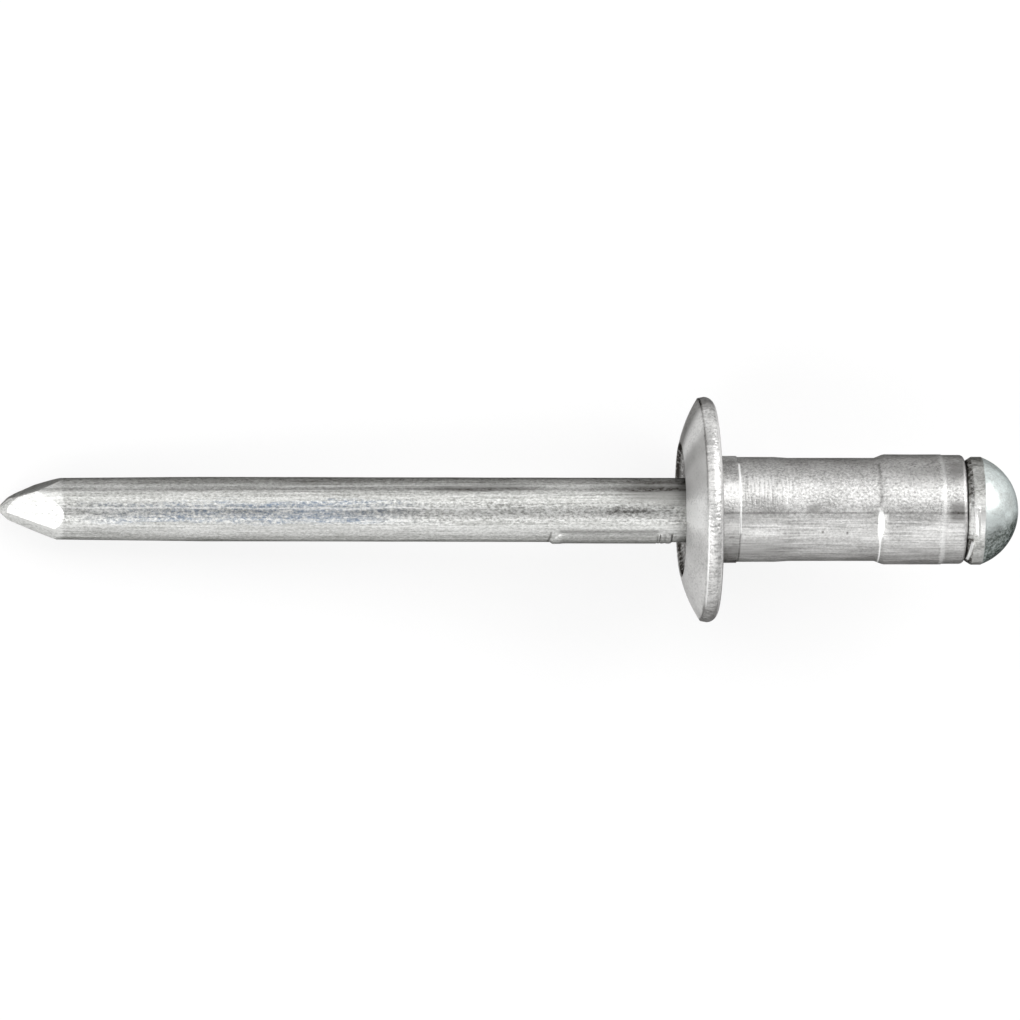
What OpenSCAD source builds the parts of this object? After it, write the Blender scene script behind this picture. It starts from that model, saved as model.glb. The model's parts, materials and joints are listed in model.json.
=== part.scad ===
// Blind rivet: an aluminium body with a low domed flange, on the steel mandrel that pulls it tight.
// It lies as it comes to rest on a table: on the edge of its flange and the shoulder of its point.
// Both pieces are drawn upright, with z counted from the end of the point towards the head,
// and are then laid down together. A turn round the rivet is counted from straight up, towards +Y.

/* [Point] */
// Length of the point, from its end to where the facets run out
point_len = 2.73; // [2:0.01:4]
// Width of the blunt end
nose_d = 0.3; // [0.1:0.01:0.6]
// Way that each pinched facet faces, in degrees round the mandrel
facet_turn = [-14, 82, 180, -90]; // [-180:1:180]
// Distance of each facet from the mandrel's axis at the very end
facet_end = [0.33, 0.34, 0.22, 0.34]; // [0.05:0.01:0.6]
// Way that the narrow facet between the first and the last one faces
trim_turn = -60; // [-70:1:-45]
// Distance of the narrow facet from the mandrel's axis at the very end
trim_end = 0.22; // [0.1:0.01:0.3]
// Diameter of the mandrel where the facets run out
shoulder_d = 2.69; // [2.3:0.01:2.8]
// Length over which the mandrel thickens behind the point
taper_len = 6.1; // [2:0.1:10]

/* [Stem] */
// Diameter of the mandrel's stem
stem_d = 2.81; // [2.7:0.01:3.2]
// Length of the mandrel that stands out of the flange
stem_out = 29.76; // [22:0.01:45]
// Amount by which the stem thickens on its way to the neck, where the heading dies gripped it
grip_swell = 0.02; // [0.01:0.01:0.06]
// Distance from the start of the gripped stretch to the rib
grip_lead = 0.6; // [0.55:0.01:1.5]

/* [Retaining rib] */
// Length of the raised rib that keeps the body on the stem
rib_len = 5.33; // [2:0.01:8]
// Width of the rib
rib_w = 1.4; // [0.6:0.01:2]
// Height of the rib over the stem
rib_h = 0.06; // [0.03:0.01:0.3]
// Gap between the rib and the flange
rib_gap = 0.41; // [0:0.01:2]
// Way that the rib faces, in degrees round the mandrel
rib_turn = -76; // [-180:1:180]

/* [Break neck] */
// Diameter of the neck where the mandrel snaps once the rivet is set
neck_d = 2.1; // [1.6:0.01:2.6]
// Length of the neck's narrowest stretch
neck_len = 0.3; // [0.1:0.01:0.8]
// Distance from the body's end to the neck
neck_depth = 2.2; // [1:0.01:4]

/* [Head] */
// Height of the head above the body's end
head_h = 2.4; // [2:0.01:3]
// Diameter of the band round the head
band_d = 4.72; // [4.5:0.01:5.4]
// Height above the body's end at which the band stops and the dome starts
band_top = 0.77; // [0.5:0.01:1.1]
// Radius of the dome
dome_r = 2.49; // [2.4:0.01:3.5]
// Diameter of the head's flat underside
head_seat_d = 4.4; // [4.3:0.01:4.5]
// Height of the slope between the underside and the band
head_slope_h = 0.3; // [0.1:0.01:0.45]
// Size of the corner between the stem and the head's underside
root_corner = 0.2; // [0.05:0.01:0.3]

/* [Flange] */
// Largest diameter of the flange
flange_d = 9.84; // [8.8:0.01:12]
// Height of the flange, from its underside to the rim of its dish
flange_h = 1.51; // [1.3:0.01:2.2]
// Thickness of the flange's edge
edge_t = 0.7; // [0.5:0.01:0.9]
// Amount by which the edge's front corner stands in from the largest radius
edge_step = 0.05; // [0.01:0.01:0.1]
// Rounding of the edge's back corner
edge_round = 0.45; // [0.2:0.01:0.49]
// Radius of the flange's domed face
crown_r = 6.1; // [4:0.1:20]
// Diameter of the dish round the mandrel, at its rim
dish_d = 5.85; // [4.4:0.01:6.5]
// Diameter of the dish's floor
dish_floor_d = 5.2; // [3.6:0.01:5.6]
// Depth of the dish at the foot of its wall
dish_depth = 0.32; // [0.1:0.01:0.7]
// Further fall of the dish's floor towards the mandrel
dish_fall = 0.08; // [0.01:0.01:0.3]

/* [Body] */
// Length of the body under the flange
body_len = 10.89; // [7:0.01:20]
// Diameter of the collar under the flange
collar_d = 4.67; // [4.6:0.01:5.2]
// Length of the collar
collar_len = 0.93; // [0.4:0.01:1.4]
// Diameter of the barrel next to the collar
front_d = 4.58; // [4.4:0.01:4.66]
// Length of that first stretch of the barrel
front_len = 2.05; // [1:0.01:2.8]
// Diameter of the rest of the barrel
barrel_d = 4.5; // [4.3:0.01:4.57]
// Diameter of the swollen end, which sets the size of the hole for the rivet
swell_d = 4.81; // [4.62:0.01:5.2]
// Length of the swollen end, tail and all
swell_len = 3.54; // [1.6:0.01:3.6]
// Length of the slope up to the swollen end
swell_slope = 0.39; // [0.1:0.01:0.4]
// Diameter of the tail, the last stretch of the swollen end
tail_d = 4.76; // [4.6:0.01:4.79]
// Length of the tail
tail_len = 1.0; // [0.5:0.01:1.5]
// Rounding of the body's end
end_round = 0.22; // [0.05:0.01:0.3]
// Gap between the mandrel and the bore, all round
bore_gap = 0.05; // [0.01:0.01:0.1]

/* [Hidden] */
$fn = 96;
// A cut runs this far past the faces it opens
over = 0.5;

flange_z = stem_out;
seat_z = flange_z + flange_h;
body_end_z = seat_z + body_len;
top_z = body_end_z + head_h;
dome_z = top_z - dome_r;
widest_z = seat_z - edge_round;
rib_z = flange_z - rib_gap - rib_len;
grip_z = rib_z - grip_lead;

gripped_d = stem_d + grip_swell;
bore_d = gripped_d + 2 * bore_gap;
front_edge = [flange_d / 2 - edge_step, flange_h - edge_t];
dish_rim = [dish_d / 2, 0];

// The crown is an arc of crown_r through the rim of the dish and the edge's front corner
crown_chord = norm(front_edge - dish_rim);
crown_along = (front_edge - dish_rim) / crown_chord;
crown_inward = [-crown_along[1], crown_along[0]];
crown_centre = (front_edge + dish_rim) / 2 + sqrt(pow(crown_r, 2) - pow(crown_chord / 2, 2)) * crown_inward;

// At rest the rivet leans on the shoulder of its point and the widest part of its flange
lean = atan((flange_d - shoulder_d) / 2 / (widest_z - point_len));
lift = shoulder_d / 2 * cos(lean) - point_len * sin(lean);
near_x = -nose_d / 2 * sin(lean);
far_x = dome_z * cos(lean) + dome_r;

// The seam of the body's round faces is turned to the side, away from the line it lies on.
// The packed flange then rests on a facet, and not on a corner that it would rock on.
seam_turn = -90;

// Lays a piece drawn upright down on the table, with its middle over the origin
module at_rest() {
    translate([-(near_x + far_x) / 2, 0, lift])
        rotate([0, 90 - lean, 0])
            children();
}

// Turns a shape drawn towards +X so that it faces a given way round the rivet
module facing(turn) {
    rotate([0, 0, 180 - turn])
        children();
}

// Section of the flange, with y counted from the rim of the dish
module flange_section() {
    corner = [flange_d / 2 - edge_round, flange_h - edge_round];
    difference() {
        intersection() {
            translate(crown_centre)
                circle(r = crown_r);
            polygon([
                [0, 0], [front_edge[0], 0], front_edge,
                [flange_d / 2, corner[1]], [flange_d / 2, flange_h], [0, flange_h]
            ]);
        }
        // Waste outside the rounded back corner
        difference() {
            translate(corner)
                square(edge_round + over);
            translate(corner)
                circle(r = edge_round);
        }
    }
}

// Section of the dish pressed round the mandrel, with y counted from its rim
module dish_section() {
    widening = (dish_d - dish_floor_d) / 2 / dish_depth;
    polygon([
        [0, -over], [dish_d / 2 + over * widening, -over], [dish_floor_d / 2, dish_depth],
        [bore_d / 2, dish_depth + dish_fall], [0, dish_depth + dish_fall]
    ]);
}

// Section of the body under the flange, with y counted from the seat
module shank_section() {
    swell_y = body_len - swell_len;
    tail_y = body_len - tail_len;
    front_y = collar_len + front_len;
    difference() {
        polygon([
            [0, -flange_h / 2], [collar_d / 2, -flange_h / 2], [collar_d / 2, collar_len],
            [front_d / 2, collar_len], [front_d / 2, front_y],
            [barrel_d / 2, front_y], [barrel_d / 2, swell_y - swell_slope],
            [swell_d / 2, swell_y], [swell_d / 2, tail_y],
            [tail_d / 2, tail_y], [tail_d / 2, body_len], [0, body_len]
        ]);
        // Waste outside the rounded end
        difference() {
            translate([tail_d / 2 - end_round, body_len - end_round])
                square(end_round + over);
            translate([tail_d / 2 - end_round, body_len - end_round])
                circle(r = end_round);
        }
    }
}

// Section of the bore, flared at the body's end round the corner under the mandrel's head
module bore_section() {
    flare = root_corner + bore_gap;
    polygon([
        [0, 0], [bore_d / 2, 0], [bore_d / 2, body_end_z - flare],
        [bore_d / 2 + flare + over, body_end_z + over], [0, body_end_z + over]
    ]);
}

module rivet_body() {
    color("#b4b3b0")
        at_rest()
            facing(seam_turn)
                rotate_extrude()
                    difference() {
                        union() {
                            translate([0, flange_z])
                                flange_section();
                            translate([0, seat_z])
                                shank_section();
                        }
                        translate([0, flange_z])
                            dish_section();
                        bore_section();
                    }
}

// Section of the stem with its break neck
module stem_section() {
    neck_z = body_end_z - neck_depth;
    neck_slope = (gripped_d - neck_d) / 2;
    polygon([
        [0, 0], [nose_d / 2, 0], [shoulder_d / 2, (shoulder_d - nose_d) / 2],
        [shoulder_d / 2, point_len], [stem_d / 2, point_len + taper_len], [stem_d / 2, grip_z],
        [gripped_d / 2, neck_z - neck_len / 2 - neck_slope], [neck_d / 2, neck_z - neck_len / 2],
        [neck_d / 2, neck_z + neck_len / 2], [gripped_d / 2, neck_z + neck_len / 2 + neck_slope],
        [gripped_d / 2, body_end_z + band_top / 2], [0, body_end_z + band_top / 2]
    ]);
}

// Section of the domed head, with y counted from the body's end
module head_section() {
    polygon([
        [0, -root_corner], [gripped_d / 2, -root_corner], [gripped_d / 2 + root_corner, 0],
        [head_seat_d / 2, 0], [band_d / 2, head_slope_h], [band_d / 2, band_top], [0, band_top]
    ]);
    intersection() {
        translate([0, head_h - dome_r])
            circle(r = dome_r);
        translate([0, band_top / 2])
            square([dome_r, head_h]);
    }
}

// Waste outside one pinched facet of the point
module facet_waste(turn, end) {
    slope = atan((shoulder_d / 2 - end) / point_len);
    facing(turn)
        translate([end, 0, 0])
            rotate([0, slope, 0])
                translate([0, -stem_d, -stem_d])
                    cube([stem_d, 2 * stem_d, 2 * point_len + stem_d]);
}

// Outline of the rib, with round ends, lying along -X from the origin
module rib_outline() {
    far = rib_w / 2 - rib_len;
    translate([far, -rib_w / 2])
        square([rib_len - rib_w, rib_w]);
    for (x = [far, -rib_w / 2])
        translate([x, 0])
            circle(d = rib_w);
}

// Rib that follows the round of the stem
module retaining_rib() {
    translate([0, 0, rib_z])
        intersection() {
            cylinder(d = stem_d + 2 * rib_h, h = rib_len);
            facing(rib_turn)
                rotate([0, 90, 0])
                    linear_extrude(height = stem_d)
                        rib_outline();
        }
}

module mandrel() {
    color("#a6abad")
        at_rest() {
            difference() {
                rotate_extrude() {
                    stem_section();
                    translate([0, body_end_z])
                        head_section();
                }
                for (i = [0 : len(facet_turn) - 1])
                    facet_waste(facet_turn[i], facet_end[i]);
                facet_waste(trim_turn, trim_end);
            }
            retaining_rib();
        }
}

rivet_body();
mandrel();
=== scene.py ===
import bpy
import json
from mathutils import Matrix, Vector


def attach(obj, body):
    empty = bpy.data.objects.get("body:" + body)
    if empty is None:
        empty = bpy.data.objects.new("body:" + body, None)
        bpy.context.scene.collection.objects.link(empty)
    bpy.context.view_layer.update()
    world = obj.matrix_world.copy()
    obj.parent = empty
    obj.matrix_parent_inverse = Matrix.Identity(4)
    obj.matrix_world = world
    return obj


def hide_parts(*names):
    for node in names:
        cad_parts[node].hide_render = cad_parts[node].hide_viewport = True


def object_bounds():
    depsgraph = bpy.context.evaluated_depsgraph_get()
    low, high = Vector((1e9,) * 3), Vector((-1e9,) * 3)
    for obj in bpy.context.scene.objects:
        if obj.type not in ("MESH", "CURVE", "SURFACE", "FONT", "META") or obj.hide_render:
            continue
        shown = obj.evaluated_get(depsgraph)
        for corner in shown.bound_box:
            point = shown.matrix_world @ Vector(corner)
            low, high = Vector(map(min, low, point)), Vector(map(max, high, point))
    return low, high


bl_info = {
    "name": "Blind rivet",
    "version": (1, 0, 0),
    "blender": (4, 5, 0),
    "location": "View3D > Sidebar > Rivet",
    "description": "Dresses a packed blind rivet: aluminium body, steel mandrel and a plain studio",
    "category": "Object",
}

import json
import math

import bpy
from bpy.props import FloatProperty, FloatVectorProperty, IntProperty, PointerProperty
from bpy.types import Operator, Panel, PropertyGroup
from mathutils import Matrix, Vector

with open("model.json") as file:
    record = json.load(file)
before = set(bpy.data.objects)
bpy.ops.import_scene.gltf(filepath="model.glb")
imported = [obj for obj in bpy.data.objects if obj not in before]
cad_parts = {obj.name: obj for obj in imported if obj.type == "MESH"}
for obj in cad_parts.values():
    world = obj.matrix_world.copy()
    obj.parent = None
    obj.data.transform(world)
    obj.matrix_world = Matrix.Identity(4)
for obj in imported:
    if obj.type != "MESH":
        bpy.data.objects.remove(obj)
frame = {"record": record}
CAD_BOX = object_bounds()

MM = 0.001
MOUNTS = {mount["name"]: mount for mount in frame["record"]["mounts"]}

# The rivet's own directions: along it to the head, across it, and out of the side that faces up
ALONG = Vector(MOUNTS["seat"]["axis"]).normalized()
ACROSS = Vector((0, 1, 0))
OUT = ALONG.cross(ACROSS)
STEM_SPOT = Vector(MOUNTS["stem"]["pos_m"])
SEAT_SPOT = STEM_SPOT + ALONG * (Vector(MOUNTS["seat"]["pos_m"]) - STEM_SPOT).dot(ALONG)

# Pieces are made upright, with z counted from the flange's underside to the head, x facing up and -y across
LYING = Matrix.Translation(SEAT_SPOT) @ Matrix((OUT, -ACROSS, ALONG)).transposed().to_4x4()

# Ways that the rib and the facets of the point face, in degrees from straight up towards +Y. A facet also has
# its distance from the axis at the very end, in millimetres, and its share of the point's length
RIB_TURN = -76
FACETS = ((-14, 0.33, 1), (82, 0.34, 1), (180, 0.22, 1), (-90, 0.34, 0.91), (-60, 0.22, 0.91))

# The stretch with the rib is drawn with finer steps, from so far in front of it to so far inside the flange
FINE_AHEAD, FINE_BEHIND = 0.3 * MM, 0.2 * MM

# Angle from which two faces meet in a sharp edge, and what both metals mirror where they are seen edge-on
SHARP = math.radians(30)
EDGE_ON = (0.12, 0.12, 0.12)


def length(name, description, millimetres):
    """A size in metres, written here in millimetres."""
    return FloatProperty(
        name=name,
        description=description,
        default=millimetres * MM,
        min=0,
        unit="LENGTH",
        precision=5,
    )


def angle(name, description, degrees):
    """An angle, written here in degrees."""
    return FloatProperty(
        name=name, description=description, default=math.radians(degrees), subtype="ANGLE"
    )


def factor(name, description, value):
    """A part of a whole, from 0 to 1."""
    return FloatProperty(
        name=name, description=description, default=value, min=0, max=1, subtype="FACTOR"
    )


def colour(name, description, value):
    """A surface colour."""
    return FloatVectorProperty(
        name=name, description=description, default=value, size=3, min=0, max=1, subtype="COLOR"
    )


class RIVET_PG_mandrel(PropertyGroup):
    """Sizes of the steel mandrel."""

    point_len: length("Point", "Length of the point, to where its facets run out", 2.73)
    nose_d: length("Nose", "Width of the blunt end", 0.3)
    shoulder_d: length("Shoulder", "Diameter where the facets run out", 2.69)
    taper_len: length("Taper", "Length over which the stem thickens behind the point", 6.1)
    stem_d: length("Stem", "Diameter of the stem", 2.81)
    stem_out: length("Stem out", "Length that stands out of the flange", 29.76)
    rib_len: length("Rib length", "Length of the retaining rib", 5.33)
    rib_w: length("Rib width", "Width of the retaining rib", 1.4)
    rib_h: length("Rib height", "Height of the retaining rib over the stem", 0.06)
    rib_gap: length("Rib gap", "Gap between the rib and the flange", 0.41)
    neck_d: length("Neck", "Diameter of the break neck", 2.1)
    neck_len: length("Neck length", "Length of the neck's narrowest stretch", 0.3)
    neck_depth: length("Neck depth", "Distance from the body's end to the neck", 2.2)
    head_h: length("Head", "Height of the head above the body's end", 2.4)
    band_d: length("Band", "Diameter of the band round the head", 4.72)
    band_top: length("Band height", "Height at which the band stops and the dome starts", 0.77)
    dome_r: length("Dome", "Radius of the dome", 2.49)
    slant: angle("Slant", "Angle at which the mandrel lies in its bore", -0.126)
    offset: length("Offset", "How far it lies off the bore's axis at the flange's underside", 0.034)
    steps: IntProperty(name="Steps", description="Steps round the mandrel", default=256, min=32)


class RIVET_PG_body(PropertyGroup):
    """Sizes of the aluminium body."""

    flange_d: length("Flange", "Largest diameter of the flange", 9.84)
    flange_h: length("Flange height", "Height from the underside to the rim of the dish", 1.51)
    edge_t: length("Edge", "Thickness of the flange's edge", 0.7)
    edge_step: length("Edge step", "How far the edge's front corner stands in", 0.05)
    edge_round: length("Edge rounding", "Rounding of the edge's back corner", 0.45)
    crown_r: length("Crown", "Radius of the domed face", 6.1)
    dish_d: length("Dish", "Diameter of the dish at its rim", 5.85)
    dish_floor_d: length("Dish floor", "Diameter of the dish's floor", 5.2)
    dish_depth: length("Dish depth", "Depth at the foot of the dish's wall", 0.32)
    dish_fall: length("Dish fall", "Further fall of the floor towards the mandrel", 0.08)
    body_len: length("Body", "Length of the body under the flange", 10.89)
    collar_d: length("Collar", "Diameter of the collar under the flange", 4.67)
    collar_len: length("Collar length", "Length of the collar", 0.93)
    front_d: length("Front", "Diameter of the barrel next to the collar", 4.58)
    front_len: length("Front length", "Length of that stretch", 2.05)
    barrel_d: length("Barrel", "Diameter of the barrel", 4.5)
    swell_d: length("Swollen end", "Diameter of the swollen end", 4.81)
    swell_len: length("Swollen length", "Length of the swollen end, tail and all", 3.54)
    swell_slope: length("Slope", "Length of the slope up to the swollen end", 0.39)
    tail_d: length("Tail", "Diameter of the last stretch", 4.76)
    tail_len: length("Tail length", "Length of the last stretch", 1.0)
    end_round: length("End rounding", "Rounding of the body's end", 0.22)
    bore_d: length("Bore", "Diameter of the bore", 2.93)
    lean: angle("Lean", "Angle by which the flange was headed out of square", -0.8)
    steps: IntProperty(name="Steps", description="Steps round the body", default=288, min=32)


class RIVET_PG_finish(PropertyGroup):
    """Colours of the two metals and the floor."""

    aluminium: colour("Aluminium", "Clean aluminium of the body", (0.8, 0.795, 0.785))
    dull_aluminium: colour("Dull aluminium", "Aluminium in hollows and scuffs", (0.3, 0.298, 0.292))
    zinc: colour("Zinc", "Bright zinc on the mandrel", (0.8, 0.802, 0.785))
    cool_zinc: colour("Cool zinc", "Zinc on the dome", (0.74, 0.8, 0.79))
    dull_zinc: colour("Dull zinc", "Zinc in hollows and streaks", (0.27, 0.272, 0.258))
    # Also painted shade on the dome's side that faces away from +Y
    dark_zinc: colour("Dark zinc", "Greenish dark stain on the dome", (0.12, 0.135, 0.125))
    # Partly a painted reflection of the camera's dark side in the stem's upward streak
    blue_zinc: colour("Blue zinc", "Bluish stains in the zinc", (0.2, 0.27, 0.38))
    # Also used as painted shade in corners, recesses, the dish, under the head and on the flanks
    grime_and_shade: colour("Grime", "Specks and the dirt in corners", (0.06, 0.055, 0.05))
    # Also used for painted highlights on edges, steps, the rib, the head and the crown
    polished_and_highlight: colour("Polished", "Edges and spots that were pressed or rubbed bright", (0.97, 0.97, 0.96))
    floor: colour("Floor", "The floor", (0.93, 0.93, 0.93))


class RIVET_PG_studio(PropertyGroup):
    """The camera, the lamps and the light from all round."""

    distance: length("Distance", "From the camera to the rivet", 970)
    width: length("Width seen", "Width of the view at the rivet", 44.5)
    middle: length("Middle", "Place along the rivet that the view centres on, from its point", 22.29)
    drop: length("Drop", "How far the view's centre lies beside the rivet's axis, away from +Y", 0.026)
    yaw: angle("Yaw", "Turn of the camera towards the mandrel's point", 4.5)
    lamp_distance: length("Lamp distance", "From the lamps to the rivet", 500)
    lit: length("Lit", "Place on the stem that the lamps aim at, from the flange's underside", 9)
    around: factor("Around", "Brightness of the light from all round", 0.5)
    shaded: factor("Shaded", "How much less of that light comes from the camera's side", 0.22)
    whiteness: factor("Whiteness", "How far the camera sees the floor plain white, shadow and all", 0.75)
    mirrored: factor("Mirrored", "How far the metal mirrors the floor plain white", 0.5)


def sizes(group):
    """The sizes set in one of the scene's groups."""
    return getattr(bpy.context.scene, group)


def seat_height(mandrel, body):
    """Distance of the flange's underside from the end of the point."""
    return mandrel.stem_out + body.flange_h


def arc(centre, radius, start, stop, count):
    """Points on an arc in the plane of radius and height, from one angle to another in degrees."""
    points = []
    for i in range(count + 1):
        way = math.radians(start + (stop - start) * i / count)
        points.append((centre[0] + radius * math.cos(way), centre[1] + radius * math.sin(way)))
    return points


def refined(outline, step):
    """The same outline with points added, so that no stretch is longer than its step."""
    points = [outline[0]]
    for (r0, z0), (r1, z1) in zip(outline, outline[1:]):
        cuts = max(1, math.ceil(math.hypot(r1 - r0, z1 - z0) / step((r0 + r1) / 2, (z0 + z1) / 2)))
        points += [
            (r0 + (r1 - r0) * i / cuts, z0 + (z1 - z0) * i / cuts) for i in range(1, cuts + 1)
        ]
    return points


def deselect():
    """Leaves no object selected."""
    if bpy.context.object and bpy.context.object.mode != "OBJECT":
        bpy.ops.object.mode_set(mode="OBJECT")
    bpy.ops.object.select_all(action="DESELECT")


def select(piece):
    """Leaves one piece selected, as the active one."""
    deselect()
    piece.select_set(True)
    bpy.context.view_layer.objects.active = piece


def lathe(name, outline, steps):
    """Draws an outline of radius and height point by point and spins it into a closed shell."""
    deselect()
    bpy.ops.mesh.primitive_plane_add(size=MM, location=(0, 0, 0))
    piece = bpy.context.object
    piece.name = piece.data.name = name
    bpy.ops.object.mode_set(mode="EDIT")
    bpy.ops.mesh.merge(type="CENTER")
    bpy.ops.transform.translate(value=(outline[0][0], 0, outline[0][1]))
    for (r0, z0), (r1, z1) in zip(outline, outline[1:]):
        bpy.ops.mesh.extrude_vertices_move(TRANSFORM_OT_translate={"value": (r1 - r0, 0, z1 - z0)})
    bpy.ops.mesh.select_all(action="SELECT")
    bpy.ops.mesh.spin(
        steps=steps, angle=math.tau, center=(0, 0, 0), axis=(0, 0, 1), use_auto_merge=True
    )
    bpy.ops.mesh.select_all(action="SELECT")
    bpy.ops.mesh.remove_doubles(threshold=2e-6)
    bpy.ops.mesh.normals_make_consistent(inside=False)
    bpy.ops.object.mode_set(mode="OBJECT")
    return piece


def turn_of(co):
    """Way that a point faces, in degrees counted from straight up towards +Y."""
    return math.degrees(math.atan2(-co.y, co.x))


def facing(turn):
    """Direction across an upright piece that faces a given way."""
    return Vector((math.cos(math.radians(turn)), -math.sin(math.radians(turn)), 0))


def rise(value, low, high):
    """A smooth step from 0 where a value is low to 1 where it is high."""
    t = min(1, max(0, (value - low) / (high - low)))
    return t * t * (3 - 2 * t)


def within(value, low, high, soft):
    """1 where a value lies between two limits, falling smoothly to 0 over a soft border."""
    return rise(value, low - soft / 2, low + soft / 2) * (
        1 - rise(value, high - soft / 2, high + soft / 2)
    )


def swell(piece, title, height, share, texture=None):
    """Raises part of a piece along its normals. share gives each vertex's part from turn, z and radius."""
    group = piece.vertex_groups.new(name=title)
    for vertex in piece.data.vertices:
        weight = share(turn_of(vertex.co), vertex.co.z, vertex.co.xy.length)
        if weight > 0.001:
            group.add([vertex.index], weight, "REPLACE")
    raised = piece.modifiers.new(title, "DISPLACE")
    raised.vertex_group = title
    raised.strength = height
    # The mean grey of a texture leaves the surface where it is
    raised.mid_level = 0.5 if texture else 0.0
    raised.texture = texture
    select(piece)
    bpy.ops.object.modifier_apply(modifier=raised.name)
    piece.vertex_groups.remove(piece.vertex_groups[title])


def clouds(name, size):
    """Soft random relief with swells of a given size."""
    texture = bpy.data.textures.new(name, "CLOUDS")
    texture.noise_scale = size
    texture.noise_depth = 2
    return texture


def lay_down(piece, node, material):
    """Lays an upright piece down where its CAD node lies, and ties it to the frame."""
    select(piece)
    piece.matrix_world = LYING
    bpy.ops.object.transform_apply(location=True, rotation=True, scale=True)
    bpy.ops.object.shade_smooth_by_angle(angle=SHARP)
    piece.data.materials.clear()
    piece.data.materials.append(material)
    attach(piece, "root")
    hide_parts(node)


def rgba(value):
    """A colour with its alpha."""
    return (*value, 1.0)


class Wire:
    """A socket of a shader node that can stand in a sum."""

    def __init__(self, shade, socket):
        self.shade, self.socket = shade, socket

    def __add__(self, other):
        return self.shade.maths("ADD", self, other)

    __radd__ = __add__

    def __sub__(self, other):
        return self.shade.maths("SUBTRACT", self, other)

    def __rsub__(self, other):
        return self.shade.maths("SUBTRACT", other, self)

    def __mul__(self, other):
        return self.shade.maths("MULTIPLY", self, other)

    __rmul__ = __mul__

    def __abs__(self):
        return self.shade.maths("ABSOLUTE", self)

    def sine(self):
        """Sine of a value in degrees."""
        return self.shade.maths("SINE", self * math.radians(1))

    def rise(self, low, high):
        """A smooth step from 0 where this value is low to 1 where it is high."""
        return self.shade.node(
            "ShaderNodeMapRange", {"interpolation_type": "SMOOTHSTEP"}, {"Value": self, 1: low, 2: high}
        )

    def within(self, low, high, soft):
        """1 where this value lies between two limits, falling smoothly to 0 over a soft border."""
        return self.rise(low - soft / 2, low + soft / 2) * (
            1 - self.rise(high - soft / 2, high + soft / 2)
        )


class Shade:
    """The node tree of one material or world."""

    def __init__(self, owner):
        owner.use_nodes = True
        self.tree = owner.node_tree
        self.tree.nodes.clear()

    def node(self, kind, settings=None, inputs=None, output=0):
        """Adds a node with its settings, then its sockets' values or links, and gives one output."""
        made = self.tree.nodes.new(kind)
        for name, value in (settings or {}).items():
            setattr(made, name, value)
        for name, value in (inputs or {}).items():
            if isinstance(value, Wire):
                self.tree.links.new(value.socket, made.inputs[name])
            else:
                made.inputs[name].default_value = value
        return Wire(self, made.outputs[output]) if made.outputs else None

    def maths(self, operation, *values):
        """One step of a sum."""
        return self.node("ShaderNodeMath", {"operation": operation}, dict(enumerate(values)))

    def spot(self):
        """Place on the rivet in millimetres, with z along it from the flange's underside."""
        back = LYING.inverted()
        coordinates = self.node("ShaderNodeTexCoord", output="Object")
        return self.node(
            "ShaderNodeMapping",
            {"vector_type": "POINT"},
            {
                "Vector": coordinates,
                "Location": back.translation / MM,
                "Rotation": back.to_euler("XYZ"),
                "Scale": (1 / MM, 1 / MM, 1 / MM),
            },
        )

    def round_the_rivet(self, spot):
        """Way that a spot faces in degrees, its height along the rivet and its distance from the axis."""
        parts = self.node("ShaderNodeSeparateXYZ", None, {0: spot})
        x, y, along = (Wire(self, output) for output in parts.socket.node.outputs)
        turn = self.maths("ARCTAN2", y * -1, x) * math.degrees(1)
        return turn, along, self.maths("SQRT", x * x + y * y)

    def noise(self, spot, around, along, detail, rough, shift=0.0):
        """Random values round 0, with so many swells a millimetre round the rivet and along it."""
        place = self.node(
            "ShaderNodeVectorMath",
            {"operation": "MULTIPLY_ADD"},
            {0: spot, 1: (around, around, along), 2: (shift, shift, shift)},
        )
        random = self.node(
            "ShaderNodeTexNoise",
            {"noise_dimensions": "3D"},
            {"Vector": place, "Scale": 1.0, "Detail": detail, "Roughness": rough},
        )
        return random - 0.5

    def marks(self, along, turn, grain, dirt_and_shade, bright, places):
        """Adds marks by height, turn, reach both ways and darkness, or shine where that is below 0; some are
        painted shade or painted highlights.
        """
        for at, way, wide, tall, darkness in places:
            mark = along.within(at - wide, at + wide, wide) * turn.within(way - tall, way + tall, tall)
            mark = mark * (1 + grain * 3) * abs(darkness)
            if darkness > 0:
                dirt_and_shade = dirt_and_shade + mark
            else:
                bright = bright + mark
        return dirt_and_shade, bright

    def mix(self, share, first, second):
        """One colour turning into another."""
        first, second = (c if isinstance(c, Wire) else rgba(c) for c in (first, second))
        return self.node(
            "ShaderNodeMix", {"data_type": "RGBA"}, {0: share, 6: first, 7: second}, output=2
        )

    def bump(self, height, strength, distance, below=None):
        """A normal tilted by relief."""
        inputs = {"Height": height, "Strength": strength, "Distance": distance}
        if below:
            inputs["Normal"] = below
        return self.node("ShaderNodeBump", None, inputs)

    def metal(self, base, roughness, normal):
        """Closes a material as bare metal."""
        surface = self.node(
            "ShaderNodeBsdfPrincipled",
            None,
            {
                "Base Color": base,
                "Metallic": 1.0,
                "Roughness": roughness,
                "Normal": normal,
                "Specular Tint": rgba(EDGE_ON),
            },
        )
        self.node("ShaderNodeOutputMaterial", None, {"Surface": surface})


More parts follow.
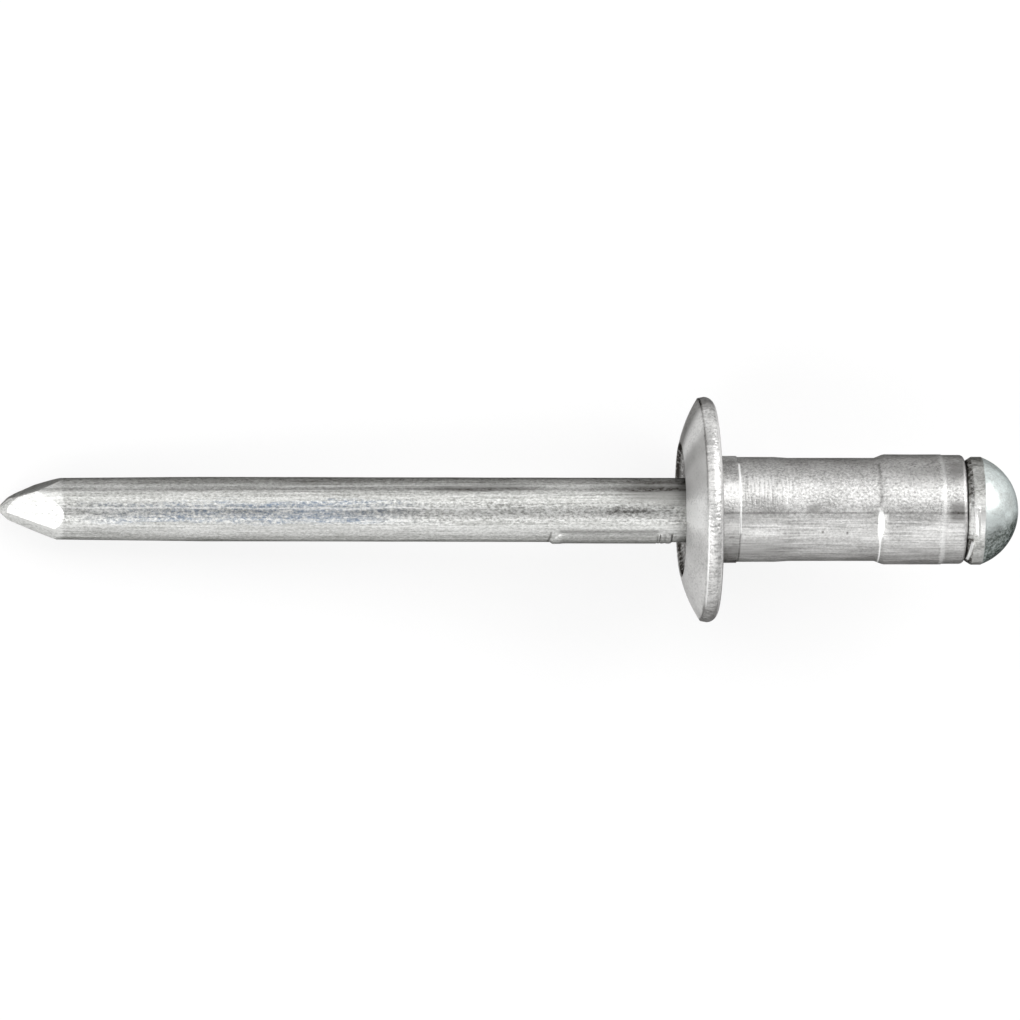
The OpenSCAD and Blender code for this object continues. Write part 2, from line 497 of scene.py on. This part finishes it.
def zinc_plated_steel():
    """Drawn steel wire under zinc: grain, long draw lines, bluish stains, dark specks and a worn dome, with
    painted shade, highlights and reflection on the stem and head.
    """
    finish, mandrel, body = sizes("rivet_finish"), sizes("rivet_mandrel"), sizes("rivet_body")
    # Heights along the rivet in millimetres
    shoulder = (mandrel.point_len - seat_height(mandrel, body)) / MM
    rib_end = -(body.flange_h + mandrel.rib_gap) / MM
    rib_start = rib_end - mandrel.rib_len / MM
    body_end = body.body_len / MM
    dome_start = body_end + mandrel.band_top / MM

    material = bpy.data.materials.new("zinc_plated_steel")
    shade = Shade(material)
    spot = shade.spot()
    turn, along, radius = shade.round_the_rivet(spot)
    stem = 1 - along.rise(body_end + 0.01, body_end + 0.11)
    point = 1 - along.rise(shoulder - 0.16, shoulder + 0.04)
    dome = along.rise(dome_start - 0.06, dome_start + 0.04)
    grain = shade.noise(spot, 13, 7, 3, 0.75)
    lines = shade.noise(spot, 13, 0.2, 2, 0.6, 5)
    streaks = shade.noise(spot, 3.4, 0.32, 4, 0.7, 9)
    blotches = shade.noise(spot, 1.0, 0.3, 3, 0.6, 17)
    fleck = shade.noise(spot, 8, 5, 4, 0.75, 31)

    # The draw streak that faces up, towards the camera: a darker core and bluish zinc, partly a painted
    # reflection of the camera's dark side, a smear near the flange, and a painted highlight line
    streak = (turn + streaks * 50).within(-24, 12, 12) * stem
    core = (turn + streaks * 30).within(-15, -4, 7) * stem
    blue = streak * (along + blotches * 6).within(-26.2, -14.2, 5)
    smear = (turn + streaks * 20).within(-9, 3, 5) * along.within(-4.8, -2.9, 0.8) * stem
    shine = (turn + blotches * 16).within(1.2, 4.5, 2) * along.within(-28.5, -12, 3) * stem

    # The lines beside it: a band just above dimmed as painted shade, a lighter band below as a painted
    # highlight, a dark line further up, and flanks darkened as painted shade
    plain = turn.within(4, 32, 8) * stem
    lower_highlight = (turn + streaks * 10).within(-52, -31, 8) * stem
    dark_line_above = (turn + streaks * 16).within(35, 44, 6)
    flank = turn.rise(47, 58) + turn.rise(26, 40) * 0.3 + (1 - turn.rise(-66, -54)) * 0.06
    level = 0.44 + grain * (2.0 + streak * 0.6 - dome * 0.9) - fleck * streak * 3 + point * 0.4
    level = level + (streaks * 0.7 + lines * 1.1) * stem + streak * 0.16 + lower_highlight * 0.26 - plain * 0.08
    dirt_and_shade = (flank * 0.38 + dark_line_above * 0.3) * (1 + streaks * 2.2 + fleck * 2.6) * stem
    dirt_and_shade = dirt_and_shade + core * 0.09 + smear * (0.35 + fleck * 2)
    bright = shine * (0.6 + grain * 2)
    # Marks along the stem; the first, on the upper side next to the flange, is the flange's painted shadow
    dirt_and_shade, bright = shade.marks(
        along + blotches * 2,
        turn + streaks * 24,
        grain,
        dirt_and_shade,
        bright,
        (
            (-2.2, 36, 1.7, 26, 0.42),
            (-10.3, 43, 1.9, 7, 0.28),
            (-6.4, 44, 0.9, 8, -0.14),
            (-25.4, 43, 3.3, 8, -0.12),
            (-27.0, 62, 1.4, 12, -0.06),
            (-7.5, 62, 1.5, 12, -0.08),
            (-17.6, 62, 1.8, 12, 0.13),
            (-19.0, -29, 3.0, 10, 0.09),
            (-27.0, -28, 1.2, 10, -0.12),
        ),
    )

    # The rib: darker than the stem, with painted shade along its upper border and in front of it, and a
    # painted highlight on the bump at its front
    rib_turn = turn + streaks * 6
    across = rib_turn.within(RIB_TURN - 30, RIB_TURN + 32, 4)
    on_rib = along.within(rib_start + 0.4, rib_end - 0.1, 0.4) * across
    beside = rib_turn.within(RIB_TURN + 30, RIB_TURN + 37, 4)
    border = along.within(rib_start + 0.3, rib_end - 0.6, 0.3) * beside
    bowed = along - abs(turn - RIB_TURN) * 0.0035
    front = bowed.within(rib_start - 0.16, rib_start - 0.06, 0.04) * across
    swelling = along.within(rib_start + 0.02, rib_start + 0.45, 0.16) * across
    level = level + swelling * 0.1
    dirt_and_shade = dirt_and_shade + on_rib * 0.19 + border * 0.42 + front * 0.5

    # The head: its band darker above and below as painted shade, bright where the burr was pressed flat with
    # a painted highlight along the band's broken corner, a painted highlight on the block's edge, painted
    # shade in the notch, and painted shade underneath with a painted lit middle
    under = along.within(body_end - 0.19, body_end + 0.27, 0.06)
    lit = (turn + blotches * 12).within(-32, 8, 18)
    band = along.within(body_end + 0.27, dome_start, 0.04)
    above = band * turn.rise(9, 26)
    below = band * (1 - turn.rise(-58, -32))
    burr = band * (turn + blotches * 10).within(-29, 13, 12)
    strip = (along + turn * 0.006).within(body_end + 0.25, body_end + 0.33, 0.03)
    strip = strip * turn.within(-30, 3, 3)
    block_edge_highlight = (along - (turn + 56) * 0.004).within(body_end + 0.1, body_end + 0.21, 0.04)
    block_edge_highlight = block_edge_highlight * turn.within(-74, -38, 3)
    notch = along.within(body_end + 0.33, body_end + 0.71, 0.04) * turn.within(56, 88, 2)
    level = level + blotches * band * 2.4 + burr * 0.4 + under * lit * 0.9
    level = level + dome * (0.36 + blotches * 1.6 + fleck * 0.9)
    dirt_and_shade = dirt_and_shade + above * 0.22 + below * 0.34 + notch * 0.14 + under * (0.72 - lit * 0.6 + fleck * 3.4)
    bright = bright + strip * 0.9 + burr * 0.15 + block_edge_highlight * 0.9

    # Specks, bluish stains, and on the side of the dome that faces away from +Y a dark greenish blotch,
    # partly stained zinc and partly painted shade
    specks = fleck.rise(0.18, 0.23) * (0.25 + 0.75 * streak) * (1 - dome * 0.6) * (1 - point)
    blue = blue * (0.22 + fleck * 3 + blotches)
    aside = radius * turn.sine() + blotches * 1.6 - (along - (body_end + 1.51)) * 0.4
    stain_and_shade = dome * (1 - aside.rise(-1.2, -0.25)) * (0.8 + fleck * 3)
    clean = shade.mix(dome, finish.zinc, finish.cool_zinc)
    base = shade.mix(level, finish.dull_zinc, clean)
    base = shade.mix(blue, base, finish.blue_zinc)
    base = shade.mix(dirt_and_shade + specks * 0.7, base, finish.grime_and_shade)
    base = shade.mix(bright, base, finish.polished_and_highlight)
    base = shade.mix(stain_and_shade, base, finish.dark_zinc)
    roughness = 0.34 + streaks * 0.25 + specks * 0.25 + dome * 0.03
    normal = shade.bump(lines, 0.3 * stem, 0.02 * MM)
    normal = shade.bump(grain, 0.55 - dome * 0.35, 0.03 * MM, normal)
    shade.metal(base, roughness, normal)
    return material


def headed_aluminium():
    """Cold-headed aluminium: sandy grain, length and ring marks, scuffs, painted shade in the dish and
    painted light and shade on its edges.
    """
    finish, body = sizes("rivet_finish"), sizes("rivet_body")
    # Heights along the rivet and radii in millimetres
    edge_z = -body.edge_t / MM
    collar_z = body.collar_len / MM
    front_z = collar_z + body.front_len / MM
    body_end = body.body_len / MM
    swell_z, tail_z = body_end - body.swell_len / MM, body_end - body.tail_len / MM
    edge_r, dish_r, floor_r, bore_r, swell_r = (
        width / 2 / MM
        for width in (body.flange_d, body.dish_d, body.dish_floor_d, body.bore_d, body.swell_d)
    )

    material = bpy.data.materials.new("headed_aluminium")
    shade = Shade(material)
    spot = shade.spot()
    turn, along, radius = shade.round_the_rivet(spot)
    flange = 1 - along.rise(-0.05, 0.0)
    rim = flange * radius.rise(edge_r - 0.2, edge_r - 0.1)
    crown = flange * radius.rise(dish_r - 0.025, dish_r + 0.075) * (1 - rim)
    dish = flange * (1 - radius.rise(dish_r - 0.065, dish_r + 0.025))
    dish = dish * radius.rise(bore_r - 0.065, bore_r - 0.015)
    wall = dish * radius.rise(floor_r + 0.06, floor_r + 0.2)
    barrel = (1 - flange) * (1 - radius.rise(swell_r + 0.095, swell_r + 0.145))
    grain = shade.noise(spot, 10, 8.5, 3, 0.75, 3)
    lines = shade.noise(spot, 12, 0.5, 2, 0.6, 7)
    rings = shade.noise(spot, 0.7, 9, 2, 0.6, 12)
    ticks = shade.noise(spot, 6, 1.2, 3, 0.6, 19)
    patches = shade.noise(spot, 0.8, 0.6, 4, 0.6, 23)
    crumbs = shade.noise(spot, 6, 6, 3, 0.7, 41).rise(0.0, 0.12)
    wander = along + patches * 0.2

    # The barrel: sandy where it ran in the rolling dies, drawn lengthwise below a dark line, with flanks
    # darkened as painted shade
    lower = (1 - turn.rise(-14, 0)) * barrel
    middle_dark_line = (turn + patches * 4).within(-5, -2.4, 1) * barrel
    flank = (turn.rise(25, 62) + (1 - turn.rise(-66, -34)) * 0.8) * barrel
    strokes = along.within(collar_z - 0.03, front_z + 0.22, 0.5) * turn.within(5, 40, 12)
    level = 0.56 + grain * (3 - lower * 1.5) * (1 - crown * 0.35) + patches * 0.9
    level = level + lower * lines * 1.6 + strokes * rings * 2.6
    dirt_and_shade = flank * 0.48 + middle_dark_line * 0.3

    # Its steps: a painted shadow and a painted highlight on the slope before the swollen end, and painted
    # highlights along the tail's step and the body's rounded end
    step = wander.within(swell_z - 0.33, swell_z - 0.21, 0.1) * turn.within(4, 58, 8)
    slope_highlight = 0.05 + turn.within(-32, -2, 24) * 0.1 - abs(wander - (swell_z - 0.28))
    slope_highlight = slope_highlight.rise(0, 0.04) * (1 - turn.rise(-4, 0))
    tail = (wander + grain * 0.4).within(tail_z - 0.18, tail_z + 0.02, 0.12)
    rounding = along.rise(body_end - body.end_round / MM + 0.02, body_end - 0.04)
    dirt_and_shade = dirt_and_shade + step * 0.3
    bright = slope_highlight * 0.9 + tail * (0.35 - turn.rise(0, 20) * 0.15)
    bright = bright + rounding * (0.3 + crumbs * 0.5) * turn.within(-44, 62, 20)

    # The collar, painted lighter above its middle and darker below as painted light and shade, and the ridge
    # where it stops, with a painted highlight above and painted shade below
    collar = along.within(0, collar_z - 0.05, 0.06) * barrel
    ridge = (wander * 0.3 + along * 0.7).within(collar_z - 0.04, collar_z + 0.05, 0.04)
    level = level + collar * (patches * 2.4 + turn.within(-1, 30, 10) * 0.55 - 0.1)
    dirt_and_shade = dirt_and_shade + collar * ((1 - turn.rise(-34, -6)) * 0.28 - turn.rise(48, 60) * 0.2)
    dirt_and_shade = dirt_and_shade + ridge * turn.within(-90, -27, 3) * 0.3
    bright = bright + ridge * turn.within(-27, 60, 6) * 0.9

    # The flange: a crown painted paler as painted light, a ticked rim painted darker below as painted shade,
    # and its front corner with painted shade above and a painted highlight below
    square = along - turn.sine() * radius * math.sin(body.lean)
    corner = flange * square.within(edge_z - 0.04, edge_z + 0.04, 0.04)
    corner = corner * radius.rise(edge_r - 0.14, edge_r - 0.1)
    level = level + crown * 0.34 + rim * (ticks * 1.8 + 0.15)
    dirt_and_shade = dirt_and_shade + rim * ((1 - turn.rise(-60, -48)) * 0.25 + (1 - turn.rise(-32, -6)) * 0.13)
    dirt_and_shade = dirt_and_shade + corner * turn.rise(-6, 14) * 0.34
    bright = bright + corner * turn.within(-58, -4, 10) * 0.8
    # Marks on the barrel and flange; the rows at heights below 0 lie on the crown and rim, and are painted
    # highlights and painted shade
    dirt_and_shade, bright = shade.marks(
        wander,
        turn + patches * 8,
        grain,
        dirt_and_shade,
        bright,
        (
            (4.12, 1.5, 0.25, 4, 0.3),
            (4.51, -27, 0.05, 1.5, 0.6),
            (5.6, -28, 0.05, 1.5, 0.6),
            (2.0, -27, 0.75, 3, -0.3),
            (2.0, 4, 0.9, 12, 0.18),
            (0.5, -2, 0.3, 8, 0.12),
            (1.9, 27, 1.3, 8, 0.12),
            (1.9, -46, 1.3, 12, 0.19),
            (1.95, 66, 1.05, 24, -0.08),
            (9.2, 36, 1.5, 12, 0.16),
            (9.2, -50, 1.5, 9, 0.08),
            (10.46, -3, 0.36, 10, 0.52),
            (10.5, 45, 0.36, 14, 0.2),
            (-1.25, 52, 0.5, 6, -0.2),
            (-1.25, -3, 0.4, 9, -0.9),
            (-1.25, 1, 0.8, 12, -0.19),
            (-1.25, 26, 0.8, 18, 0.25),
            (-1.25, 38, 0.8, 8, 0.12),
            (-1.25, -28, 0.8, 10, 0.1),
            (-0.35, 38, 0.3, 9, -0.15),
            (-1.0, 80, 0.8, 14, 0.55),
        ),
    )
    base = shade.mix(level, finish.dull_aluminium, finish.aluminium)
    base = shade.mix(dirt_and_shade, base, finish.grime_and_shade)
    # The dish is darkened as painted shade, most on its wall, with lighter crumbs
    base = shade.mix(dish * (0.53 - crumbs * 0.53) + wall * 0.5, base, finish.grime_and_shade)
    base = shade.mix(bright, base, finish.polished_and_highlight)
    roughness = 0.35 + patches * 0.2 + dish * 0.2 + crown * 0.2
    normal = shade.bump(rings, 0.12 + strokes * 0.4, 0.02 * MM)
    normal = shade.bump(lines, lower * 0.4, 0.02 * MM, normal)
    normal = shade.bump(ticks, rim * 0.9, 0.05 * MM, normal)
    normal = shade.bump(grain, 0.65 - flange * 0.3, 0.04 * MM, normal)
    shade.metal(base, roughness, normal)
    return material


def mandrel_outline(m, b):
    """Outline of the mandrel from the end of its point to the top of its dome."""
    foot, body_end = -seat_height(m, b), b.body_len
    flange, head_top = foot + m.stem_out, body_end + m.head_h
    nose, shoulder, stem, neck, band = (
        width / 2 for width in (m.nose_d, m.shoulder_d, m.stem_d, m.neck_d, m.band_d)
    )
    neck_z, neck_half, neck_slope = body_end - m.neck_depth, m.neck_len / 2, stem - neck
    band_top, dome_z = body_end + m.band_top, head_top - m.dome_r
    dome_start = math.degrees(math.asin((band_top + 0.06 * MM - dome_z) / m.dome_r))
    outline = [
        (0, foot),
        (nose, foot),
        (shoulder, foot + shoulder - nose),
        (shoulder, foot + m.point_len),
        (stem, foot + m.point_len + m.taper_len),
        # The rib is raised later, on the stretch between these two
        (stem, flange - m.rib_gap - m.rib_len - FINE_AHEAD),
        (stem, flange + FINE_BEHIND),
        (stem, neck_z - neck_half - neck_slope),
        (neck, neck_z - neck_half),
        (neck, neck_z + neck_half),
        (stem, neck_z + neck_half + neck_slope),
        # The head's underside stands on the body's end, and the corners of its band are broken
        (stem, body_end - 0.12 * MM),
        (stem + 0.3 * MM, body_end + 0.02 * MM),
        (band - 0.19 * MM, body_end + 0.04 * MM),
        (band - 0.15 * MM, body_end + 0.08 * MM),
        (band - 0.03 * MM, body_end + 0.27 * MM),
        (band, body_end + 0.33 * MM),
        (band, band_top - 0.02 * MM),
        (band - 0.02 * MM, band_top),
    ]
    dome = arc((0, dome_z), m.dome_r, dome_start, 90, count=60)
    return outline + dome[:-1] + [(0, head_top)]


class RIVET_OT_mandrel(Operator):
    """Makes the mandrel: pinched point, stem, retaining rib, break neck and domed head"""

    bl_idname = "rivet.mandrel"
    bl_label = "Make mandrel"

    def execute(self, context):
        m, b = sizes("rivet_mandrel"), sizes("rivet_body")
        foot = -seat_height(m, b)
        flange = foot + m.stem_out
        rib_end = flange - m.rib_gap
        rib_start = rib_end - m.rib_len
        fine, plain, hidden, head = 0.06 * MM, 0.22 * MM, 0.3 * MM, 0.07 * MM

        def step(r, z):
            if z < foot + m.point_len + 0.3 * MM:
                return fine
            if z < rib_start - FINE_AHEAD:
                return plain
            if z < flange + FINE_BEHIND:
                return fine
            return hidden if z < b.body_len - 0.2 * MM else head

        piece = lathe("mandrel_dressed", refined(mandrel_outline(m, b), step), m.steps)
        self.pinch_point(piece, m, foot)
        self.raise_rib(piece, m, rib_start, rib_end)
        self.mark_head(piece, b.body_len)
        swell(
            piece,
            "waves",
            height=0.012 * MM,
            share=lambda turn, z, r: rise(z, foot + 3 * MM, foot + 6 * MM)
            * (1 - rise(z, flange, flange + MM)),
            texture=clouds("stem_waves", 2.2 * MM),
        )
        self.settle(piece, m)
        lay_down(piece, "mandrel", zinc_plated_steel())
        return {"FINISHED"}

    def pinch_point(self, piece, m, foot):
        """Cuts the pinched facets off the point."""
        for turn, end, reach in FACETS:
            way, end = facing(turn), end * MM
            normal = way * m.point_len * reach - Vector((0, 0, m.shoulder_d / 2 - end))
            select(piece)
            bpy.ops.object.mode_set(mode="EDIT")
            bpy.ops.mesh.select_all(action="SELECT")
            bpy.ops.mesh.bisect(
                plane_co=way * end + Vector((0, 0, foot)),
                plane_no=normal.normalized(),
                use_fill=True,
                clear_outer=True,
                threshold=1e-7,
            )
            bpy.ops.mesh.region_to_loop()
            bpy.ops.mesh.mark_sharp()
            bpy.ops.object.mode_set(mode="OBJECT")

    def raise_rib(self, piece, m, start, end):
        """Raises the retaining rib, round in front, with a swelling there and the die's strokes behind."""
        stem, half = m.stem_d / 2, m.rib_w / 2

        def aside(turn):
            return math.radians((turn - RIB_TURN + 180) % 360 - 180) * stem

        def rib(turn, z, r):
            if not start - MM < z < end + MM or r < stem * 0.9:
                return 0
            ahead = max(start + half - z, 0)
            side = 1 - rise(math.hypot(aside(turn), ahead), half - 0.05 * MM, half + 0.03 * MM)
            return side * (1 - rise(z, end - 0.06 * MM, end))

        def bulb(turn, z, r):
            if not start - MM < z < start + MM:
                return 0
            reach = math.hypot(aside(turn) * 0.28, z - start - 0.3 * MM)
            return 1 - rise(reach, 0.2 * MM, 0.28 * MM)

        swell(piece, "rib", height=m.rib_h, share=rib)
        swell(piece, "bulb", height=0.018 * MM, share=bulb)
        # Distance of each stroke from the rib's end, and its width
        for back, wide in ((0.62, 0.05), (0.5, 0.04), (0.27, 0.07)):
            high = end - back * MM
            swell(
                piece,
                "stroke",
                height=-0.03 * MM,
                share=lambda turn, z, r: rib(turn, z, r) * within(z, high - wide * MM, high, 0.04 * MM),
            )

    def mark_head(self, piece, body_end):
        """Leaves the burr, the raised block and the notch of the heading dies on the head's band."""
        # Name and height of each mark, its limits in degrees, and its limits above the body's end
        for title, height, low, high, start, stop in (
            ("burr", 0.05, -28, 4, 0.34, 0.5),
            ("block", 0.04, -74, -37, 0.22, 0.92),
            ("notch", -0.04, 58, 88, 0.26, 0.72),
        ):
            swell(
                piece,
                title,
                height=height * MM,
                share=lambda turn, z, r: within(turn, low, high, 2)
                * within(z, body_end + start * MM, body_end + stop * MM, 0.05 * MM)
                * rise(r, 1.9 * MM, 2.1 * MM),
            )

    def settle(self, piece, m):
        """Lets the mandrel lie a little aslant in its bore, as far as the gap round it allows."""
        piece.rotation_euler = (m.slant, 0, 0)
        piece.location = (0, m.offset, 0)
        select(piece)
        bpy.ops.object.transform_apply(location=True, rotation=True, scale=True)


def body_outline(b):
    """Closed outline of the body, round its wall from the bore to the flange and the barrel."""
    bore, rim, floor_r = b.bore_d / 2, b.dish_d / 2, b.dish_floor_d / 2
    edge, collar, near, barrel = b.flange_d / 2, b.collar_d / 2, b.front_d / 2, b.barrel_d / 2
    swollen, tail = b.swell_d / 2, b.tail_d / 2
    top, front_end = -b.flange_h, b.collar_len + b.front_len
    swell_start, tail_start = b.body_len - b.swell_len, b.body_len - b.tail_len
    soft, flare = 0.03 * MM, 0.25 * MM
    # The crown is an arc through the dish's rim and the edge's front corner
    crown_in, crown_out = Vector((rim, top)), Vector((edge - b.edge_step, -b.edge_t))
    chord = crown_out - crown_in
    inward = Vector((-chord.y, chord.x)).normalized()
    centre = (crown_out + crown_in) / 2 + inward * math.sqrt(b.crown_r**2 - (chord.length / 2) ** 2)
    start, stop = (
        math.degrees(math.atan2(point.y - centre.y, point.x - centre.x)) for point in (crown_in, crown_out)
    )
    return (
        [
            (bore, b.body_len - flare),
            (bore, top + b.dish_depth + b.dish_fall),
            (floor_r, top + b.dish_depth),
            (rim - soft, top + soft),
        ]
        + arc(centre, b.crown_r, start, stop, count=30)
        + [(edge, -b.edge_round)]
        + arc((edge - b.edge_round, -b.edge_round), b.edge_round, 0, 90, count=12)
        + [
            (collar, 0),
            (collar, b.collar_len - soft),
            (collar - soft, b.collar_len),
            (near, b.collar_len + soft),
            (near, front_end - 0.4 * MM),
            (barrel, front_end + 0.2 * MM),
            (barrel, swell_start - b.swell_slope),
            (swollen - 0.02 * MM, swell_start - 0.05 * MM),
            (swollen, swell_start + 0.05 * MM),
            (swollen, tail_start - soft),
            (tail, tail_start + soft),
        ]
        + arc((tail - b.end_round, b.body_len - b.end_round), b.end_round, 0, 90, count=8)
        + [(bore + flare, b.body_len), (bore, b.body_len - flare)]
    )


class RIVET_OT_body(Operator):
    """Makes the body: domed flange with its dish, collar, barrel, swollen end and tail"""

    bl_idname = "rivet.body"
    bl_label = "Make body"

    def execute(self, context):
        b = sizes("rivet_body")
        outline = refined(body_outline(b), lambda r, z: 0.08 * MM if r > b.bore_d / 2 else MM)
        piece = lathe("rivet_body_dressed", outline, b.steps)
        self.lean_flange(piece, b)
        swell(
            piece,
            "dents",
            height=0.014 * MM,
            share=lambda turn, z, r: rise(z, 0.3 * MM, 0.8 * MM) * rise(r, 1.9 * MM, 2.1 * MM),
            texture=clouds("barrel_dents", 1.3 * MM),
        )
        swell(
            piece,
            "crown_dents",
            height=0.02 * MM,
            share=lambda turn, z, r: (1 - rise(z, -0.2 * MM, 0)) * rise(r, 2.7 * MM, 3.2 * MM),
            texture=clouds("crown_dents", 1.1 * MM),
        )
        lay_down(piece, "rivet_body", headed_aluminium())
        return {"FINISHED"}

    def lean_flange(self, piece, b):
        """Turns the flange a little out of square, as it was headed."""
        select(piece)
        for vertex in piece.data.vertices:
            vertex.select = vertex.co.z < 0.001 * MM
        for edge in piece.data.edges:
            edge.select = False
        for face in piece.data.polygons:
            face.select = False
        bpy.ops.object.mode_set(mode="EDIT")
        bpy.ops.transform.rotate(value=b.lean, orient_axis="X", center_override=(0, 0, 0))
        bpy.ops.object.mode_set(mode="OBJECT")


def camera_way():
    """Direction from the rivet to the camera."""
    yaw = sizes("rivet_studio").yaw
    return OUT * math.cos(yaw) - ALONG * math.sin(yaw)


def aim(obj, place, target, upward):
    """Puts a lamp or camera in its place, looking at a target."""
    back = (place - target).normalized()
    right = upward.cross(back).normalized()
    turned = Matrix((right, back.cross(right), back)).transposed().to_4x4()
    obj.matrix_world = Matrix.Translation(place) @ turned


class RIVET_OT_stage(Operator):
    """Lays the floor, hangs the lamps and sets the camera"""

    bl_idname = "rivet.stage"
    bl_label = "Set the stage"

    def execute(self, context):
        self.lay_floor()
        self.light_world(context)
        middle = SEAT_SPOT - ALONG * sizes("rivet_studio").lit
        # Name of each lamp, the way that it hangs in, its width and height in metres, and its brightness
        for name, way, width, height, brightness in (
            ("upper_box", self.beside(38), 1.0, 0.5, 1.12),
            ("lower_box", self.beside(-50), 1.0, 0.42, 0.9),
            ("head_box", Vector((0.8, 0.42, 0.45)), 0.38, 0.38, 2.6),
            ("point_box", Vector((-0.519, -0.432, 0.736)), 0.26, 0.26, 2.2),
        ):
            self.hang_lamp(name, middle, way, width, height, brightness)
        self.set_camera(context)
        return {"FINISHED"}

    def lay_floor(self):
        """Lays a wide pale floor under the rivet."""
        deselect()
        bpy.ops.mesh.primitive_plane_add(size=3, location=(0, 0, CAD_BOX[0][2]))
        floor = bpy.context.object
        floor.name = "floor"
        material = bpy.data.materials.new("floor")
        shade = Shade(material)
        matt = shade.node(
            "ShaderNodeBsdfPrincipled",
            None,
            {
                "Base Color": rgba(sizes("rivet_finish").floor),
                "Roughness": 0.9,
                "Specular IOR Level": 0.1,
            },
        )
        white = shade.node("ShaderNodeEmission", None, {"Color": (1, 1, 1, 1), "Strength": 1.0})
        seen = shade.node("ShaderNodeLightPath", output="Is Camera Ray")
        mirrored = shade.node("ShaderNodeLightPath", output="Is Glossy Ray")
        studio = sizes("rivet_studio")
        share = seen * studio.whiteness + mirrored * studio.mirrored
        surface = shade.node("ShaderNodeMixShader", None, {0: share, 1: matt, 2: white})
        shade.node("ShaderNodeOutputMaterial", None, {"Surface": surface})
        floor.data.materials.append(material)

    def light_world(self, context):
        """Soft studio light from all round, darker on the camera's side."""
        world = context.scene.world or bpy.data.worlds.new("studio")
        context.scene.world = world
        shade = Shade(world)
        way = shade.node("ShaderNodeTexCoord", output="Generated")
        towards = shade.node(
            "ShaderNodeVectorMath",
            {"operation": "DOT_PRODUCT"},
            {0: way, 1: camera_way()},
            output="Value",
        )
        studio = sizes("rivet_studio")
        light = studio.around - towards.rise(0.85, 0.97) * studio.shaded
        background = shade.node("ShaderNodeBackground", None, {"Color": (1, 1, 1, 1), "Strength": light})
        shade.node("ShaderNodeOutputWorld", None, {"Surface": background})

    def beside(self, degrees):
        """Direction from the rivet at an angle from straight out of it towards +Y."""
        return Vector((0, math.sin(math.radians(degrees)), math.cos(math.radians(degrees))))

    def hang_lamp(self, name, target, way, width, height, brightness):
        """Hangs a softbox with a face of a given brightness, where 1 is white."""
        lamp = bpy.data.lights.new(name, "AREA")
        lamp.shape = "RECTANGLE"
        lamp.size, lamp.size_y = width, height
        lamp.energy = brightness * math.pi * width * height
        obj = bpy.data.objects.new(name, lamp)
        bpy.context.scene.collection.objects.link(obj)
        along, across, out = way.normalized() * sizes("rivet_studio").lamp_distance
        place = target + ALONG * along + ACROSS * across + OUT * out
        aim(obj, place, target, OUT)

    def set_camera(self, context):
        """Looks down on the rivet, a little from the side of its point."""
        studio = sizes("rivet_studio")
        m, b = sizes("rivet_mandrel"), sizes("rivet_body")
        target = SEAT_SPOT + ALONG * (studio.middle - seat_height(m, b)) - ACROSS * studio.drop
        camera = bpy.data.cameras.new("camera")
        camera.sensor_width = 36
        camera.lens = camera.sensor_width * studio.distance / studio.width
        camera.clip_start, camera.clip_end = 0.01, 20
        obj = bpy.data.objects.new("camera", camera)
        context.scene.collection.objects.link(obj)
        aim(obj, target + camera_way() * studio.distance, target, ACROSS)
        context.scene.camera = obj
        context.scene.view_settings.view_transform = "Standard"


class RIVET_PT_panel(Panel):
    """Lists the rivet's sizes and steps in the sidebar"""

    bl_label = "Blind rivet"
    bl_idname = "RIVET_PT_panel"
    bl_space_type = "VIEW_3D"
    bl_region_type = "UI"
    bl_category = "Rivet"

    def draw(self, context):
        for group, operator in (
            ("rivet_mandrel", "rivet.mandrel"),
            ("rivet_body", "rivet.body"),
            ("rivet_finish", None),
            ("rivet_studio", "rivet.stage"),
        ):
            box = self.layout.box()
            settings = getattr(context.scene, group)
            for name in settings.__annotations__:
                box.prop(settings, name)
            if operator:
                box.operator(operator)


GROUPS = {
    "rivet_mandrel": RIVET_PG_mandrel,
    "rivet_body": RIVET_PG_body,
    "rivet_finish": RIVET_PG_finish,
    "rivet_studio": RIVET_PG_studio,
}
CLASSES = (*GROUPS.values(), RIVET_OT_mandrel, RIVET_OT_body, RIVET_OT_stage, RIVET_PT_panel)


def register():
    for cls in CLASSES:
        bpy.utils.register_class(cls)
    for name, group in GROUPS.items():
        setattr(bpy.types.Scene, name, PointerProperty(type=group))


def unregister():
    for name in GROUPS:
        delattr(bpy.types.Scene, name)
    for cls in reversed(CLASSES):
        bpy.utils.unregister_class(cls)


def main():
    """Makes the whole scene."""
    register()
    bpy.ops.rivet.mandrel()
    bpy.ops.rivet.body()
    bpy.ops.rivet.stage()


if __name__ == "__main__":
    main()
